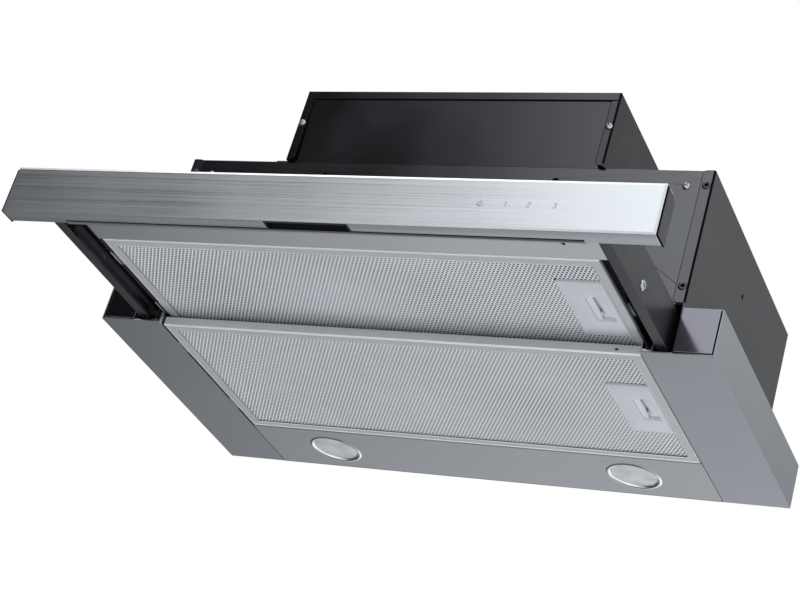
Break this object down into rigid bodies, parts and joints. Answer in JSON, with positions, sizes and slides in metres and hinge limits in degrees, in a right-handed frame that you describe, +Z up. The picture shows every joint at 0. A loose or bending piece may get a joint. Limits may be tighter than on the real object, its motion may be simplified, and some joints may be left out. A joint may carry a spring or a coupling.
{
  "type": "telescopic range hood",
  "caption": "Slim pull-out cooker hood for a wall cabinet: dark body, stainless drawer front, mesh filters, lamps and duct collar.",
  "frame": {"origin": "middle of the back panel's lower edge: the wall's plane, the underside's plane and the middle of the width", "axes": "+X to the cook's right, +Y into the wall, +Z up; the drawer is pulled out along -Y and is out at rest, as in the picture"},
  "size_m": [0.603, 0.471, 0.2868],
  "materials": {
    "black_paint": "satin black baked paint on sheet steel",
    "stainless": "fine straight-brushed stainless sheet",
    "zinc": "bare zinc-plated sheet",
    "slide_steel": "dark passivated sheet, slightly oiled",
    "filter_aluminium": "matt rolled aluminium",
    "filter_mesh": "layers of expanded aluminium sheet",
    "bright_steel": "bright nickel plating",
    "lamp_glass": "frosted glass",
    "black_plastic": "fine satin moulded plastic",
    "grey_plastic": "fine satin moulded plastic",
    "white_plastic": "smooth moulded plastic",
    "rivet_black": "black lacquered rivets",
    "black_rubber": "plain",
    "cast_motor": "plain cast end shields"
  },
  "bodies": {
    "housing": {"side_panel_left": "black_paint", "side_panel_right": "black_paint", "front_panel": "black_paint", "top_panel": "black_paint", "back_panel": "black_paint", "motor_side_left": "black_paint", "motor_side_right": "black_paint", "motor_top": "black_paint", "motor_front": "black_paint", "duct_collar": "black_plastic", "skirt_left": "stainless", "skirt_right": "stainless", "light_panel": "stainless", "lamp_ring_left": "bright_steel", "lamp_lens_left": "lamp_glass", "lamp_body_left": "grey_plastic", "lamp_ring_right": "bright_steel", "lamp_lens_right": "lamp_glass", "lamp_body_right": "grey_plastic", "guide_left": "zinc", "guide_right": "zinc", "slide_bar_left": "zinc", "slide_bar_right": "zinc", "scroll": "grey_plastic", "scroll_side_left": "grey_plastic", "scroll_side_right": "grey_plastic", "motor": "cast_motor", "control_box": "grey_plastic", "capacitor": "white_plastic", "cable_gland": "black_rubber", "drawer_switch": "black_plastic", "panel_screws": "bright_steel", "motor_screws": "bright_steel", "flange_rivets": "rivet_black"},
    "drawer": {"fascia": "stainless", "fascia_back": "black_paint", "end_cap_left": "grey_plastic", "end_cap_right": "grey_plastic", "finger_pull": "black_plastic", "touch_board": "black_plastic", "front_rail": "stainless", "drawer_top": "black_paint", "arm_left": "black_paint", "arm_right": "black_paint", "runner_left": "slide_steel", "runner_right": "slide_steel", "arm_screws": "bright_steel", "filter_frame_front": "filter_aluminium", "filter_mesh_front": "filter_mesh", "latch_housing_front": "filter_aluminium"},
    "front_latch": {"latch_front": "zinc"},
    "rear_filter": {"filter_frame_rear": "filter_aluminium", "filter_mesh_rear": "filter_mesh", "latch_housing_rear": "filter_aluminium"},
    "rear_latch": {"latch_rear": "zinc"},
    "flap_a": {"flap_front": "grey_plastic"},
    "flap_b": {"flap_back": "grey_plastic"},
    "fan": {"fan_wheel": "black_plastic", "fan_blades_left": "black_plastic", "fan_blades_right": "black_plastic"}
  },
  "joints": [
    {"name": "drawer_slide", "type": "slide", "parent": "housing", "child": "drawer", "axis": [0, 1, 0], "range_m": [0, 0.1635]},
    {"name": "front_latch_slide", "type": "slide", "parent": "drawer", "child": "front_latch", "axis": [-1, 0, 0], "range_m": [0, 0.006], "stiffness_N_per_m": 250, "springref_m": -0.004},
    {"name": "rear_filter_hinge", "type": "hinge", "parent": "housing", "child": "rear_filter", "pos_m": [-0.2355, -0.1808, 0.0012], "axis": [0, 1, 0], "range_deg": [0, 80]},
    {"name": "rear_latch_slide", "type": "slide", "parent": "rear_filter", "child": "rear_latch", "axis": [-1, 0, 0], "range_m": [0, 0.006], "stiffness_N_per_m": 250, "springref_m": -0.004},
    {"name": "flap_a_hinge", "type": "hinge", "parent": "housing", "child": "flap_a", "pos_m": [0, -0.162, 0.266], "axis": [-1, 0, 0], "range_deg": [0, 78]},
    {"name": "flap_b_hinge", "type": "hinge", "parent": "housing", "child": "flap_b", "pos_m": [0, -0.156, 0.266], "axis": [1, 0, 0], "range_deg": [0, 78]},
    {"name": "fan_spin", "type": "hinge", "parent": "housing", "child": "fan", "pos_m": [0, -0.1197, 0.1495], "axis": [1, 0, 0], "continuous": true}
  ]
}
